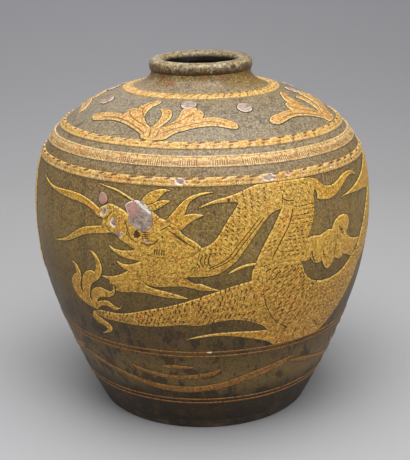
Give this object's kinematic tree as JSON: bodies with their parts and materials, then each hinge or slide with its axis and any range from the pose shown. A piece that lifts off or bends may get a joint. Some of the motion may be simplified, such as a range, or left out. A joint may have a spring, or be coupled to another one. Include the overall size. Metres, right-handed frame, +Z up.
{
  "type": "stoneware storage jar",
  "caption": "Large round-shouldered stoneware jar with a short neck and rolled rim, banded and decorated with applied slip dragons.",
  "frame": {"origin": "centre of the foot, on the surface that the jar stands on", "axes": "+Z up along the jar's axis; -Y is the front, the side in the picture; +X is the picture's right"},
  "size_m": [0.4028, 0.4032, 0.4179],
  "materials": {
    "body_clay": "unglazed brown stoneware, matt",
    "olive_glaze": "olive-brown ash glaze, speckled, satin",
    "rim_glaze": "mottled olive and cream glaze, worn",
    "ochre_slip": "golden ochre slip under thin glaze",
    "rust_slip": "rust-orange slip under thin glaze",
    "broken_clay": "bare broken clay, pale pinkish"
  },
  "bodies": {
    "root": {"base_disc": "body_clay", "belly_cord": "ochre_slip", "belly_wall": "olive_glaze", "dragon_back_flames": "ochre_slip", "dragon_belly_fins": "ochre_slip", "dragon_brow_stubs": "broken_clay", "dragon_claws": "ochre_slip", "dragon_ears": "ochre_slip", "dragon_feelers": "ochre_slip", "dragon_hairs": "ochre_slip", "dragon_haunches": "ochre_slip", "dragon_heads": "ochre_slip", "dragon_horns": "ochre_slip", "dragon_lower_whiskers": "ochre_slip", "dragon_manes": "ochre_slip", "dragon_necks": "ochre_slip", "dragon_nose_stubs": "broken_clay", "dragon_rear_bodies": "ochre_slip", "dragon_rear_claws": "ochre_slip", "dragon_shoulder_fins": "ochre_slip", "dragon_tail_flames": "ochre_slip", "dragon_tails": "ochre_slip", "dragon_trunks": "ochre_slip", "dragon_upper_whiskers": "ochre_slip", "field_lines": "rust_slip", "foot_lines": "rust_slip", "fret_band": "ochre_slip", "long_waves": "rust_slip", "lower_wall": "olive_glaze", "lug_stubs": "broken_clay", "neck_collar": "olive_glaze", "neck_cord": "ochre_slip", "rolled_rim": "rim_glaze", "short_waves": "rust_slip", "shoulder_cord": "ochre_slip", "shoulder_sprays": "ochre_slip", "shoulder_wall": "olive_glaze", "wave_dashes": "rust_slip"}
  },
  "joints": []
}
